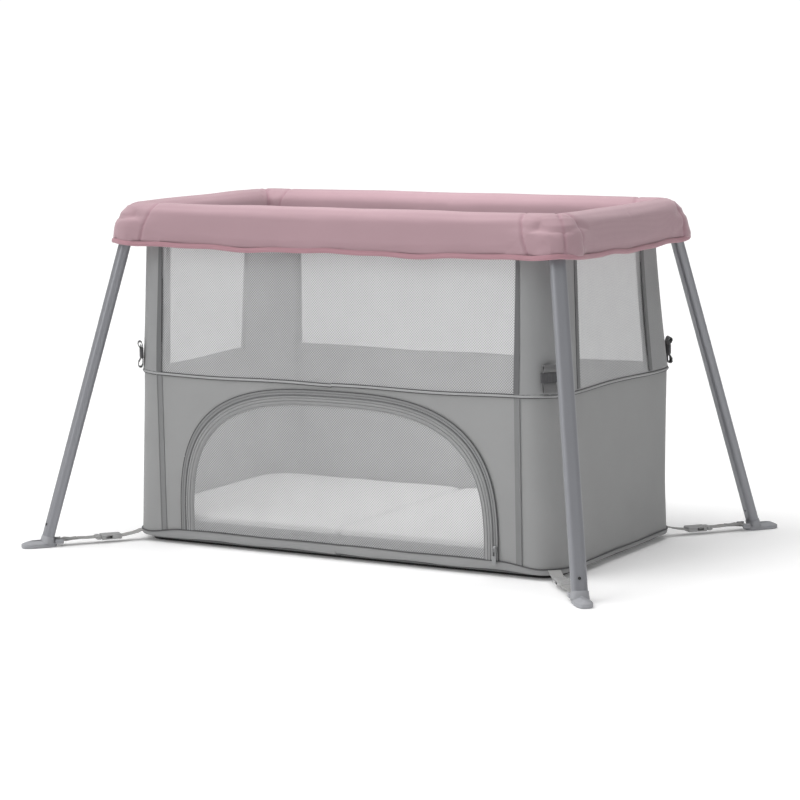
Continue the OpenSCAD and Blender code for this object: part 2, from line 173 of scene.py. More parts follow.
# ---------------------------------------------------------------- mesh tools
def finish_mesh(bm, name, smooth=True, outward=True):
    if outward:
        bmesh.ops.recalc_face_normals(bm, faces=bm.faces)
    for e in bm.edges:
        if len(e.link_faces) == 2 and e.calc_face_angle(0) > math.radians(50):
            e.smooth = False
    mesh = bpy.data.meshes.new(name)
    bm.to_mesh(mesh)
    bm.free()
    for p in mesh.polygons:
        p.use_smooth = smooth
    obj = bpy.data.objects.new(name, mesh)
    bpy.context.scene.collection.objects.link(obj)
    return obj


def apply_modifiers(obj):
    deps = bpy.context.evaluated_depsgraph_get()
    mesh = bpy.data.meshes.new_from_object(obj.evaluated_get(deps))
    obj.modifiers.clear()
    obj.data = mesh
    return obj


def extrude_line(bm, edges):
    """Extrudes a line of edges: gives its new points and its new edges."""
    made = bmesh.ops.extrude_edge_only(bm, edges=edges)["geom"]
    new = {g for g in made if isinstance(g, bmesh.types.BMVert)}
    return new, [g for g in made if isinstance(g, bmesh.types.BMEdge) and all(v in new for v in g.verts)]


def points_of(made):
    return [g for g in made["geom"] if isinstance(g, bmesh.types.BMVert)]


def sweep(places, rows, closed=False, cap=False):
    """Extrudes a line of points row by row; places(row) gives the points of a row, each with its run."""
    bm = bmesh.new()
    run = bm.verts.layers.float.new("run")
    number = bm.verts.layers.int.new("number")
    uv = bm.loops.layers.uv.new("cloth")
    height = bm.verts.layers.float.new("height")
    first = places(rows[0])
    verts = []
    for i, (p, u) in enumerate(first):
        v = bm.verts.new(p)
        v[run], v[number], v[height] = u, i, 0.0
        verts.append(v)
    edges = [bm.edges.new((verts[i], verts[i + 1])) for i in range(len(verts) - 1)]
    if closed:
        edges.append(bm.edges.new((verts[-1], verts[0])))
    start, far = list(edges), 0.0
    for row in rows[1:]:
        new, edges = extrude_line(bm, edges)
        line = places(row)
        far += (Vector(line[0][0]) - Vector(first[0][0])).length
        first = line
        for v in new:
            p, u = line[v[number]]
            v.co, v[run], v[height] = p, u, far
    if cap:
        bmesh.ops.edgeloop_fill(bm, edges=start)
        bmesh.ops.edgeloop_fill(bm, edges=edges)
    for f in bm.faces:
        for loop in f.loops:
            loop[uv].uv = (loop.vert[run], loop.vert[height])
    return bm


def thicken(bm, thickness):
    bmesh.ops.recalc_face_normals(bm, faces=bm.faces)
    bmesh.ops.solidify(bm, geom=bm.faces[:], thickness=thickness)


def cord_bm(points, radius, sides=10):
    """A round trim that follows a line of points."""
    pts = [Vector(p) for p in points]

    def ring(i):
        a, b = pts[max(i - 1, 0)], pts[min(i + 1, len(pts) - 1)]
        d = (b - a).normalized()
        side = d.cross(Vector((0, 0, 1)))
        side = side.normalized() if side.length > 0.3 else d.cross(Vector((1, 0, 0))).normalized()
        up = side.cross(d)
        return [(pts[i] + side * math.cos(2 * math.pi * k / sides) * radius
                 + up * math.sin(2 * math.pi * k / sides) * radius, k / sides * 2 * math.pi * radius)
                for k in range(sides)]

    return sweep(ring, list(range(len(pts))), closed=True, cap=True)


def cord_tube(name, points, radius, sides=10):
    return finish_mesh(cord_bm(points, radius, sides), name)


def block(size, at, bevel, segments=3):
    bm = bmesh.new()
    bmesh.ops.create_cube(bm, size=1.0)
    bmesh.ops.scale(bm, vec=size, verts=bm.verts)
    bmesh.ops.bevel(bm, geom=bm.edges[:], offset=bevel, offset_type="OFFSET", segments=segments,
                    affect="EDGES", profile=0.5, material=-1, clamp_overlap=True)
    bmesh.ops.translate(bm, vec=at, verts=bm.verts)
    return bm


def join(parts, name, smooth=True):
    bm = bmesh.new()
    for part in parts:
        mesh = bpy.data.meshes.new("part")
        part.to_mesh(mesh)
        part.free()
        bm.from_mesh(mesh)
        bpy.data.meshes.remove(mesh)
    return finish_mesh(bm, name, smooth)


def shade_by_angle(obj, degrees):
    limit = math.radians(degrees)
    bm = bmesh.new()
    bm.from_mesh(obj.data)
    for e in bm.edges:
        if len(e.link_faces) == 2:
            e.smooth = e.calc_face_angle(0) < limit
    bm.to_mesh(obj.data)
    bm.free()
    return obj


# ---------------------------------------------------------------- finishes
class Finish:
    """One material under construction."""

    def __init__(self, name, colour, rough=0.6, metal=0.0, sheen=0.0, specular=0.5, coat=0.0):
        self.material = bpy.data.materials.new(name)
        self.material.use_nodes = True
        self.tree = self.material.node_tree
        self.shader = self.tree.nodes["Principled BSDF"]
        self.shader.inputs["Base Color"].default_value = (*colour, 1)
        self.shader.inputs["Roughness"].default_value = rough
        self.shader.inputs["Metallic"].default_value = metal
        self.shader.inputs["Sheen Weight"].default_value = sheen
        self.shader.inputs["Specular IOR Level"].default_value = specular
        self.shader.inputs["Coat Weight"].default_value = coat
        self.colour = colour
        self.coordinates = self.node("ShaderNodeTexCoord")

    def node(self, kind, **settings):
        n = self.tree.nodes.new(kind)
        for key, value in settings.items():
            setattr(n, key, value)
        return n

    def link(self, a, b):
        self.tree.links.new(a, b)

    def placed(self, scale, source="Object"):
        m = self.node("ShaderNodeMapping")
        m.inputs["Scale"].default_value = scale
        self.link(self.coordinates.outputs[source], m.inputs["Vector"])
        return m.outputs["Vector"]

    def noise(self, scale, detail, stretch=(1, 1, 1)):
        n = self.node("ShaderNodeTexNoise")
        n.inputs["Scale"].default_value = scale
        n.inputs["Detail"].default_value = detail
        self.link(self.placed(stretch), n.inputs["Vector"])
        return n.outputs["Fac"]

    def waves(self, pitch, direction, source="Object"):
        w = self.node("ShaderNodeTexWave", bands_direction=direction)
        w.inputs["Scale"].default_value = WAVE_REPEAT / pitch
        self.link(self.placed((1, 1, 1), source), w.inputs["Vector"])
        return w.outputs["Fac"]

    def math(self, operation, a, b=0.0):
        m = self.node("ShaderNodeMath", operation=operation)
        for i, value in enumerate((a, b)):
            if isinstance(value, (int, float)):
                m.inputs[i].default_value = value
            else:
                self.link(value, m.inputs[i])
        return m.outputs[0]

    def share(self, part, a, b):
        """So much of one value and the rest of another."""
        return self.math("ADD", self.math("MULTIPLY", a, part), self.math("MULTIPLY", b, 1 - part))

    def height(self):
        split = self.node("ShaderNodeSeparateXYZ")
        self.link(self.coordinates.outputs["Object"], split.inputs[0])
        return split.outputs[2]

    def ramp(self, value, low, high, a, b):
        r = self.node("ShaderNodeMapRange")
        self.link(value, r.inputs["Value"])
        for key, number in (("From Min", low), ("From Max", high), ("To Min", a), ("To Max", b)):
            r.inputs[key].default_value = number
        return r.outputs["Result"]

    def tint(self, value, dark, light):
        """Varies the base colour with a value from 0 to 1."""
        m = self.node("ShaderNodeMix", data_type="RGBA")
        m.inputs["A"].default_value = (*[c * dark for c in self.colour], 1)
        m.inputs["B"].default_value = (*[min(1, c * light) for c in self.colour], 1)
        self.link(value, m.inputs["Factor"])
        self.link(m.outputs["Result"], self.shader.inputs["Base Color"])
        return m.outputs["Result"]

    def mark(self, value, colour):
        """Lays a second colour over the base where the value is 1."""
        m = self.node("ShaderNodeMix", data_type="RGBA")
        source = self.shader.inputs["Base Color"]
        if source.is_linked:
            self.link(source.links[0].from_socket, m.inputs["A"])
        else:
            m.inputs["A"].default_value = source.default_value
        m.inputs["B"].default_value = (*colour, 1)
        self.link(value, m.inputs["Factor"])
        self.link(m.outputs["Result"], source)

    def bump(self, value, strength, distance):
        b = self.node("ShaderNodeBump")
        b.inputs["Strength"].default_value = strength
        b.inputs["Distance"].default_value = distance
        self.link(value, b.inputs["Height"])
        if self.shader.inputs["Normal"].is_linked:
            self.link(self.shader.inputs["Normal"].links[0].from_socket, b.inputs["Normal"])
        self.link(b.outputs["Normal"], self.shader.inputs["Normal"])

    def rough(self, value, low, high):
        self.link(self.ramp(value, 0, 1, low, high), self.shader.inputs["Roughness"])


def woven_cloth(name, colour, thread=0.0009, source="UV", mottled=0.10, folds=0.0):
    f = Finish(name, colour, 0.85, sheen=0.25, specular=0.25)
    warp = f.waves(thread, "X", source)
    weft = f.waves(thread, "Y" if source == "UV" else "Z", source)
    weave = f.math("MULTIPLY", warp, weft)
    f.tint(f.share(0.35, weave, f.noise(9, 5)), 1 - mottled, 1 + mottled)
    f.rough(f.noise(60, 3), 0.75, 0.95)
    if folds:
        f.bump(f.noise(14, 2, stretch=(1, 1, 0.35)), 0.6, folds)
    f.bump(weave, 0.3, 0.0004)
    return f


def net_cloth(name, colour, pitch=0.0036, solid=0.60, spread=0.17):
    """Fine knitted net: round holes in offset rows, read along the cloth."""
    f = Finish(name, colour, 0.8, sheen=0.2, specular=0.2)
    split = f.node("ShaderNodeSeparateXYZ")
    f.link(f.coordinates.outputs["UV"], split.inputs[0])
    k = 2 * math.pi / pitch
    a = f.math("MULTIPLY", f.math("ADD", split.outputs[0], split.outputs[1]), k * 0.7071)
    b = f.math("MULTIPLY", f.math("SUBTRACT", split.outputs[0], split.outputs[1]), k * 0.7071)
    holes = f.math("ADD", f.math("COSINE", a), f.math("COSINE", b))
    threads = f.ramp(holes, -1.0, 1.0, solid + spread, solid - spread)
    f.link(threads, f.shader.inputs["Alpha"])
    f.tint(f.noise(18, 4), 0.92, 1.06)
    f.bump(threads, 0.4, 0.0005)
    return f


def moulded_plastic(name, colour, rough=0.45, specular=0.4):
    f = Finish(name, colour, rough, specular=specular)
    f.tint(f.noise(40, 4), 0.94, 1.05)
    f.rough(f.noise(220, 3), rough - 0.08, rough + 0.12)
    f.bump(f.noise(900, 2), 0.12, 0.0004)
    return f


def webbing_cloth(name, colour):
    f = Finish(name, colour, 0.8, sheen=0.2, specular=0.25)
    ribs = f.math("MULTIPLY", f.waves(0.0016, "X", "UV"), f.waves(0.0011, "Y", "UV"))
    f.tint(f.share(0.6, ribs, f.noise(70, 3)), 0.82, 1.1)
    f.bump(ribs, 0.6, 0.0006)
    return f


def cover_cloth():
    f = Finish("rose_cover_cloth", (0.41, 0.272, 0.302), 0.82, sheen=0.35, specular=0.25)
    f.shader.inputs["Sheen Roughness"].default_value = 0.45
    f.shader.inputs["Sheen Tint"].default_value = (0.98, 0.90, 0.92, 1)
    knit = f.math("MULTIPLY", f.waves(0.0011, "X"), f.waves(0.0011, "Z"))
    f.tint(f.share(0.3, knit, f.noise(7, 5)), 0.93, 1.07)
    f.rough(f.noise(40, 3), 0.72, 0.92)
    # painted shade: the cloth darkens along the sewn seams, in the grooves that crease_cover presses in
    seam = f.node("ShaderNodeAttribute", attribute_name="seam")
    f.mark(f.math("MULTIPLY", seam.outputs["Fac"], 0.55), (0.33, 0.18, 0.22))
    f.bump(f.noise(22, 3), 0.35, 0.002)
    f.bump(knit, 0.25, 0.0004)
    return f


def floor_cloth():
    f = woven_cloth("floor_cloth", (0.30, 0.302, 0.304), 0.0011, folds=0.002)
    # painted shade: the tray goes near-black below 9 mm, where the recess under the base lies in shadow
    f.mark(f.ramp(f.height(), 0.0090, 0.0096, 1.0, 0.0), (0.015, 0.015, 0.015))
    return f


def leg_paint():
    f = Finish("silver_leg_paint", (0.285, 0.290, 0.312), 0.34, metal=0.35, coat=0.15)
    f.shader.inputs["Coat Roughness"].default_value = 0.25
    f.tint(f.noise(900, 2), 0.93, 1.06)
    f.rough(f.noise(120, 4, stretch=(1, 1, 0.1)), 0.28, 0.44)
    f.bump(f.noise(1500, 2), 0.08, 0.0003)
    return f


def steel_tube():
    f = Finish("rail_tube_steel", (0.45, 0.46, 0.48), 0.35, metal=0.9)
    f.tint(f.noise(300, 3, stretch=(0.05, 1, 1)), 0.9, 1.05)
    f.rough(f.noise(200, 3), 0.25, 0.45)
    f.bump(f.noise(900, 2), 0.06, 0.0003)
    return f


CLOTH = {
    "cover": cover_cloth(),
    "hem": woven_cloth("rose_hem_cloth", (0.42, 0.23, 0.265), 0.0010, "Object"),
    "net": net_cloth("pale_net", (0.51, 0.514, 0.519)),
    "post": woven_cloth("post_cloth", (0.30, 0.303, 0.305), 0.0009, folds=0.0015),
    "binding": woven_cloth("binding_tape", (0.145, 0.147, 0.15), 0.0008, "UV"),
    "wall": woven_cloth("lower_wall_cloth", (0.315, 0.317, 0.317), 0.0009, folds=0.002),
    "strip": woven_cloth("wall_seam_strip", (0.225, 0.227, 0.229), 0.0008, "UV"),
    "piping": woven_cloth("pale_piping", (0.37, 0.373, 0.376), 0.0008, "UV"),
    # painted shade: dark cords in the creases beside the piping, along the floor seam and beside the zip tape
    "seam_shade_lines": woven_cloth("painted_seam_shade", (0.085, 0.086, 0.088), 0.0008, "UV"),
    "tray": floor_cloth(),
    "tape": woven_cloth("zip_tape_cloth", (0.25, 0.252, 0.254), 0.0007, "UV"),
    "border": woven_cloth("door_border_cloth", (0.30, 0.302, 0.304), 0.0007, "UV"),
    "webbing": webbing_cloth("floor_strap_webbing", (0.42, 0.417, 0.412)),
    "keeper_webbing": webbing_cloth("bundle_webbing", (0.19, 0.19, 0.192)),
    "elastic": webbing_cloth("keeper_elastic", (0.10, 0.10, 0.105)),
}
HARD = {
    "leg": leg_paint(), "rail": steel_tube(),
    "hub": moulded_plastic("hub_nylon", (0.05, 0.05, 0.055)),
    "foot": moulded_plastic("foot_plastic", (0.34, 0.345, 0.365), 0.5),
    "buckle": moulded_plastic("buckle_plastic", (0.40, 0.40, 0.40), 0.35),
    "button": moulded_plastic("button_plastic", (0.35, 0.04, 0.03), 0.3),
    "zip": moulded_plastic("zip_metal", (0.30, 0.305, 0.31), 0.35, 0.6),
    "screw": moulded_plastic("screw_black", (0.03, 0.03, 0.03), 0.4),
    "teeth": moulded_plastic("zip_teeth", (0.12, 0.122, 0.125), 0.4),
}
HARD["zip"].shader.inputs["Metallic"].default_value = 0.7


def mattress_cloth():
    f = woven_cloth("mattress_cloth", (0.88, 0.88, 0.875), 0.0010, "Object", mottled=0.03)
    f.mark(f.ramp(f.height(), 0.0470, 0.0490, 1.0, 0.0), (0.20, 0.203, 0.205))
    f.bump(f.noise(16, 3), 0.4, 0.002)
    return f


CLOTH["mattress"] = mattress_cloth()
CLOTH["board"] = woven_cloth("board_cloth", (0.16, 0.162, 0.165), 0.0010, "Object")


def dress(obj, finish):
    obj.data.materials.clear()
    obj.data.materials.append(finish.material)
    return obj


def dress_node(name, finish):
    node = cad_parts[name]
    node.data.materials.clear()
    node.data.materials.append(finish.material)


def gathers(obj, side):
    """Soft piece of one half: rides with its half frame."""
    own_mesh(obj)
    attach(obj, side + "_frame")
    return obj


# ---------------------------------------------------------------- padded rail cover
def lift(t):
    """1 over a leg, 0 away from the corners."""
    return max(0.0, 1 - abs(t - 1.41) / 0.75, 1 - abs(t - 3.59) / 0.75)


def corner_flare(t):
    return 0.0225 * (3 * lift(t) ** 2 - 2 * lift(t) ** 3)


def cover_section(t, shrink):
    """(out from the outer face, height) round the padded section, starting at the inner hem."""
    w, r = COVER_W, 0.025
    flare = corner_flare(t)
    lo, hi = HEM + 0.004 + 0.008 * lift(t), TOP + 0.010 - shrink
    outer, inner = -shrink + 0.001, -w + shrink
    pts = [(inner, lo), (inner - 0.001, mix(lo, hi - r, 0.35)), (inner, mix(lo, hi - r, 0.7))]
    for k in range(7):
        a = math.pi - k * math.pi / 12
        pts.append((inner + r + r * math.cos(a), hi - r + r * math.sin(a)))
    for k in range(7):
        a = math.pi / 2 - k * math.pi / 12
        pts.append((outer - 0.005 - r + r * math.cos(a), hi - r + r * math.sin(a)))
    for f in (0.2, 0.4, 0.6, 0.8, 1.0):
        z = mix(hi - r, lo, f)
        drop = unit((TOP + 0.004 - z) / 0.044)
        pts.append((outer - 0.005 * (1 - f) + flare * drop ** 0.7, z))
    pts.append((outer + flare - 0.012, lo + 0.001))
    pts.append((inner + 0.012, lo + 0.001))
    return pts


def full_ring(section, x, y, r, per=(40, 10, 22, 10, 40)):
    half = stations(per)
    rows = [(1, t) for t in half] + [(-1, t) for t in reversed(half[1:-1])]

    def place(row):
        side, t = row
        return [(Vector((*outline(side, t, x, y, r, out)[0], z)), i * 0.01)
                for i, (out, z) in enumerate(section(t))]

    bm = bmesh.new()
    number = bm.verts.layers.int.new("number")
    verts = []
    for i, (p, u) in enumerate(place(rows[0])):
        v = bm.verts.new(p)
        v[number] = i
        verts.append(v)
    n = len(verts)
    edges = [bm.edges.new((verts[i], verts[(i + 1) % n])) for i in range(n)]
    start = list(edges)
    for row in rows[1:]:
        new, edges = extrude_line(bm, edges)
        line = place(row)
        for v in new:
            v.co = line[v[number]][0]
    bmesh.ops.bridge_loops(bm, edges=start + edges)
    return bm


def soften(obj):
    obj.modifiers.new("soft", "SUBSURF").levels = 1
    obj.modifiers["soft"].render_levels = 1
    apply_modifiers(obj)


def inflate(obj, voxel, cap, pressure, still=None):
    """Stuffs a closed form: remesh, cloth under pressure, each point held within the cap."""
    obj.modifiers.new("even", "REMESH").mode = "VOXEL"
    obj.modifiers["even"].voxel_size = voxel
    apply_modifiers(obj)
    rest = [v.co.copy() for v in obj.data.vertices]
    if still is not None:
        group = obj.vertex_groups.new(name="held")
        group.add([v.index for v in obj.data.vertices if still(v.co)], 1.0, "REPLACE")
    cloth = obj.modifiers.new("stuffing", "CLOTH")
    cloth.settings.use_pressure = True
    cloth.settings.uniform_pressure_force = pressure
    cloth.settings.effector_weights.gravity = 0
    cloth.settings.quality = 4
    cloth.settings.tension_stiffness = 25
    cloth.settings.compression_stiffness = 25
    if still is not None:
        cloth.settings.vertex_group_mass = "held"
    scene = bpy.context.scene
    for step in range(1, 21):
        scene.frame_set(step)
    apply_modifiers(obj)
    scene.frame_set(1)
    for v, p in zip(obj.data.vertices, rest):
        d = v.co - p
        if d.length > cap:
            v.co = p + d.normalized() * cap
    soften(obj)
    for p in obj.data.polygons:
        p.use_smooth = True
    return obj


SEAM_X, SEAM_Y = PEN_X - 0.100, PEN_Y - 0.053


def crease_cover(obj):
    """Sewn seams at the corners, and slight puckers beside them."""
    bm = bmesh.new()
    bm.from_mesh(obj.data)
    bm.normal_update()
    # the pull is kept as 'seam' for the cover's painted shade in the seam grooves
    seam = bm.verts.layers.float.new("seam")
    moves = []
    for v in bm.verts:
        c, pull = v.co, 0.0
        u, w = abs(c.x) - (PEN_X - COVER_R), abs(c.y) - (PEN_Y - COVER_R)
        if w > 0 and u < 0.01:
            pull = math.exp(-((abs(c.x) - SEAM_X - (TOP - c.z) * 0.32) / 0.0028) ** 2)
        if u > 0.01 and w < 0.03:
            pull = max(pull, math.exp(-((abs(c.y) - SEAM_Y) / 0.0028) ** 2))
        if u > 0 and w > 0:
            turn = math.atan2(u, w) - math.radians(44)
            pull = max(pull, math.exp(-(turn * math.hypot(u, w) / 0.0028) ** 2))
        v[seam] = pull
        r = math.hypot(u, w)
        if u > 0 and w > 0 and r > 0.052 and c.z < TOP - 0.003:
            near = max(0.0, 1 - ((math.atan2(u, w) - 0.768) / 0.62) ** 2)
            need = 0.0590 + 0.0100 * min(1.0, (TOP - 0.003 - c.z) / 0.013)
            need += 0.0195 * unit((TOP - 0.006 - c.z) / 0.055) + 0.0026 * pull
            if need > r:
                c += Vector((c.x / abs(c.x) * u, c.y / abs(c.y) * w, 0)) * ((need / r - 1) * near)
        wave = noise.noise(Vector((c.x * 9, c.y * 9, c.z * 14))) * 0.0012
        low = unit((HEM + 0.02 - c.z) / 0.02)
        wave += noise.noise(Vector((c.x * 16, c.y * 16, 3.0))) * 0.0016 * low
        moves.append((v, v.normal * (wave - 0.0026 * pull)))
    for v, d in moves:
        v.co += d
    bm.to_mesh(obj.data)
    bm.free()


def hem_wave(side, t):
    u = run_length(t)
    return 0.0018 * math.sin(u * 23 + side) + 0.0012 * math.sin(u * 51 + 2 * side)


def make_cover():
    bm = full_ring(lambda t: cover_section(t, 0.002), PEN_X, PEN_Y, COVER_R)
    cover = finish_mesh(bm, "padded_rail_cover")
    inflate(cover, 0.0065, 0.004, 3.0, still=lambda c: c.z < HEM + 0.02)
    crease_cover(cover)
    dress(cover, CLOTH["cover"])
    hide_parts("left_cover", "right_cover")

    def hem_section(t):
        flare = corner_flare(t)
        lo = HEM - 0.001 + 0.008 * lift(t) + hem_wave(1, t) * (1 - lift(t))
        out = flare + 0.0005
        return [(out - 0.006, lo), (out - 0.001, lo - 0.0005), (out + 0.0014, lo + 0.002),
                (out + 0.0012, lo + 0.006), (out - 0.0006, lo + 0.0095), (out - 0.004, lo + 0.0098)]

    bm = full_ring(hem_section, PEN_X, PEN_Y, COVER_R)
    hem = finish_mesh(bm, "cover_hem_band")
    soften(hem)
    dress(hem, CLOTH["hem"])
    for piece in (cover, hem):
        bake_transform(piece)


# ---------------------------------------------------------------- walls
def wall_line(side, z, out, bulge):
    line = []
    for t in stations():
        p, n = wall_point(side, t, z, out + bulge(side, t, z))
        line.append((Vector((p.x, p.y, z)), run_length(t)))
    return line


def rows_between(lo, hi, n):
    return [mix(lo, hi, i / n) for i in range(n + 1)]


def net_sag(side, t, z):
    f = (z - SEAM) / (HEM - SEAM)
    middle = math.sin(math.pi * unit(f))
    flat = 1 - lift(t)
    return -0.0025 * middle * flat


def seam_dip(side, t):
    """The seam isn't quite level: it hangs a little between the corners."""
    u = run_length(t)
    return -0.0022 * (1 - lift(t)) + 0.0011 * math.sin(u * 19 + side * 0.6)


def cloth_ripple(side, t, z):
    u = run_length(t)
    edge = min(1.0, max(0.0, (z - BASE) / 0.03), max(0.0, (SEAM - z) / 0.03))
    return 0.0011 * noise.noise(Vector((side * u * 7, z * 5, 1.5))) * edge


def make_nets():
    for name, side in SIDES.items():
        bm = sweep(lambda z: wall_line(side, z, -0.0002, net_sag), rows_between(SEAM + 0.001, HEM + 0.008, 14))
        net = finish_mesh(bm, "net_wall_" + name)
        dress(net, CLOTH["net"])
        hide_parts(name + "_mesh")
        gathers(net, name)


def post_edges(depth, z):
    """Stations of a post's two edges: on the long wall and on the end wall."""
    a = POST_X / (wall_x(z) - WALL_R)
    b = 2 + (1 - POST_Y / (wall_y(z) - WALL_R)) / 2
    return (a, b) if depth < 0 else (5 - b, 5 - a)


def strip_points(side, spans, z, out, bulge=None):
    return [(Vector((*wall_point(side, t, z, out + (bulge(side, t, z) if bulge else 0))[0], z)),
             run_length(t)) for t in spans]


def tape_spans(depth, z, which, shares):
    """Stations across a tape, as shares of its width inwards from one edge of a post."""
    edge = post_edges(depth, z)[which]
    inward = (1, -1)[which]
    step = BINDING_W / (run_length(edge + 0.01) - run_length(edge)) * 0.01 * inward
    return [edge + step * f for f in shares]


def make_posts():
    for name, side in SIDES.items():
        for end, depth in DEPTHS.items():
            def folds(_, t, z):
                a, b = post_edges(depth, z)
                bow = math.sin(math.pi * (t - a) / (b - a))
                return 0.0012 * noise.noise(Vector((t * 5, z * 6, side * 3.0 + depth))) * bow

            def place(z):
                a, b = post_edges(depth, z)
                knots = [a] + [k for k in (1, 2, 3, 4) if a < k < b] + [b]
                spans = [mix(p, q, i / 8) for p, q in zip(knots, knots[1:]) for i in range(8)] + [b]
                return strip_points(side, spans, z, 0.0016, folds)

            bm = sweep(place, rows_between(SEAM + 0.002, HEM + 0.02, 14))
            thicken(bm, 0.0014)
            post = finish_mesh(bm, f"corner_post_{end}_{name}")
            dress(post, CLOTH["post"])
            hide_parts(name + "_posts")
            gathers(post, name)
            tapes, strips = [], []
            for which in (0, 1):
                def tape(z0, z1, out, bulge=None):
                    def across(z):
                        spans = tape_spans(depth, z, which, (-0.15, 0.2, 0.5, 0.85))
                        return strip_points(side, spans, z, out, bulge)
                    bm = sweep(across, rows_between(z0, z1, 12))
                    thicken(bm, 0.0010)
                    return bm
                tapes += [tape(SEAM + 0.003, HEM + 0.015, 0.0030), tape(SEAM + 0.003, HEM + 0.004, -0.0012)]
                if which == (0 if depth < 0 else 1):
                    low, high = FLOOR_SEAM + 0.001, SEAM - 0.002
                    strips += [tape(low, high, 0.0008, cloth_ripple), tape(low, high, -0.0030, cloth_ripple)]

                    def line_at(z):
                        spans = tape_spans(depth, z, which, (0.85,))
                        return strip_points(side, spans, z, 0.0009, cloth_ripple)[0][0]
                    strips.append(cord_bm([line_at(z) for z in rows_between(low, high - 0.001, 12)], 0.0011, 6))
            binding = join(tapes, f"post_binding_{end}_{name}")
            dress(binding, CLOTH["binding"])
            strip = join(strips, f"wall_seam_strip_{end}_{name}")
            settle(strip)
            dress(strip, CLOTH["strip"])
            for piece in (binding, strip):
                gathers(piece, name)


def trim_line(side, z, out, dip):
    return [Vector((*wall_point(side, t, z, out)[0], z + dip(side, t))) for t in stations((60, 14, 34, 14, 60))]


def make_piping():
    for name, side in SIDES.items():
        seam = cord_tube("seam_piping_" + name, trim_line(side, SEAM, 0.0012, seam_dip), 0.0021)
        dress(seam, CLOTH["piping"])
        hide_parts(name + "_piping")
        # dark cords either side of the piping and along the floor seam: painted shade in the seam creases
        lines = [cord_bm(trim_line(side, SEAM + dz, out, seam_dip), 0.0010, 6)
                 for dz, out in ((0.0028, 0.0006), (-0.0028, 0.0004))]
        lines.append(cord_bm(trim_line(side, FLOOR_SEAM, 0.0010,
                                       lambda s, t: 0.0006 * math.sin(run_length(t) * 31)), 0.0013, 6))
        seam_shade_lines = join(lines, "seam_lines_" + name)
        settle(seam_shade_lines)
        dress(seam_shade_lines, CLOTH["seam_shade_lines"])
        for trim in (seam, seam_shade_lines):
            gathers(trim, name)


def arch(w, h, a):
    c, s = math.cos(a), math.sin(a)
    return blunt(c, 2 / 3) * w, DOOR_Z + h * max(s, 0.0) ** (2 / 3)


def front_y(z, out=0.0):
    return -(wall_y(z) + out)


def arch_row(side, grow, out, n=44, foot=0.0):
    """Half of the arch, from its foot to the top middle, grown by so much."""
    pts, far, last = [], 0.0, None
    places = [arch(DOOR_W + grow, DOOR_H + grow, math.pi / 2 * (i / n) ** 1.15) for i in range(n + 1)]
    places[-1] = (0.0, places[-1][1])
    if foot:
        places = [(DOOR_W + grow, DOOR_Z - foot), (DOOR_W + grow, DOOR_Z - foot / 2)] + places
    for x, z in places:
        p = Vector((side * x, front_y(z, out), z))
        far += (p - last).length if last else 0.0
        last = p
        pts.append((p, far))
    return pts


def make_lower_walls():
    for name, side in SIDES.items():
        def line(z):
            shifted = []
            for (p, u), t in zip(wall_line(side, z, -0.0006, cloth_ripple), stations()):
                if z > SEAM - 0.001:
                    p = p + Vector((0, 0, seam_dip(side, t)))
                shifted.append((p, u))
            return shifted
        rows = rows_between(BASE + 0.03, SEAM - 0.02, 14)
        bm = sweep(line, [FLOOR_SEAM, FLOOR_SEAM + 0.008] + rows + [SEAM - 0.008, SEAM])
        thicken(bm, 0.0012)
        wall = finish_mesh(bm, "lower_wall_" + name)
        hole = bmesh.new()
        hole_w, hole_h = DOOR_W + DOOR_GAP, DOOR_H + DOOR_GAP
        rim = [(hole_w, BASE)] + [arch(hole_w, hole_h, math.pi / 2 * i / 40) for i in range(41)]
        pts = [hole.verts.new((side * x, -0.30, z)) for x, z in rim]
        pts[-1].co.x = -side * 0.02
        pts.append(hole.verts.new((-side * 0.02, -0.30, BASE)))
        face = hole.faces.new(pts)
        made = bmesh.ops.extrude_face_region(hole, geom=[face])
        bmesh.ops.translate(hole, vec=(0, 0.1, 0), verts=points_of(made))
        cutter = finish_mesh(hole, "cutter")
        cut = wall.modifiers.new("door", "BOOLEAN")
        cut.operation, cut.solver, cut.object = "DIFFERENCE", "EXACT", cutter
        apply_modifiers(wall)
        bpy.data.objects.remove(cutter)
        settle(wall)
        shade_by_angle(wall, 40)
        dress(wall, CLOTH["wall"])
        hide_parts(name + "_lower_wall")
        gathers(wall, name)


# ---------------------------------------------------------------- door and zip
BORDER = [(-0.0195, 0.0002), (-0.0185, 0.0016), (-0.0170, 0.0004), (-0.0155, 0.0018), (-0.0120, 0.0020),
          (-0.0108, 0.0004), (-0.0095, 0.0020), (-0.0065, 0.0020), (-0.0052, 0.0004), (-0.0040, 0.0018),
          (-0.0015, 0.0016), (-0.0008, 0.0004)]
TAPE = [(0.0012, 0.0004), (0.0016, 0.0016), (0.0045, 0.0018), (0.0056, 0.0004), (0.0068, 0.0018),
        (0.0094, 0.0018), (0.0100, 0.0006)]
SILL = DOOR_Z - FLOOR_SEAM         # the fixed part below the door


def net_panel(points, low):
    net = bmesh.new()
    uv = net.loops.layers.uv.new("cloth")
    loop = [net.verts.new(p) for p in points] + [net.verts.new((0, front_y(low), low))]
    net.faces.new(loop)
    bmesh.ops.triangulate(net, faces=net.faces)
    for f in net.faces:
        for corner in f.loops:
            corner[uv].uv = (corner.vert.co.x, corner.vert.co.z)
    return net


def straight_band(side, rows, lo, hi):
    return sweep(lambda row: [
        (Vector((side * (DOOR_W + row[0]), front_y(z, row[1]), z)), z)
        for z in rows_between(lo, hi, 3)], rows)


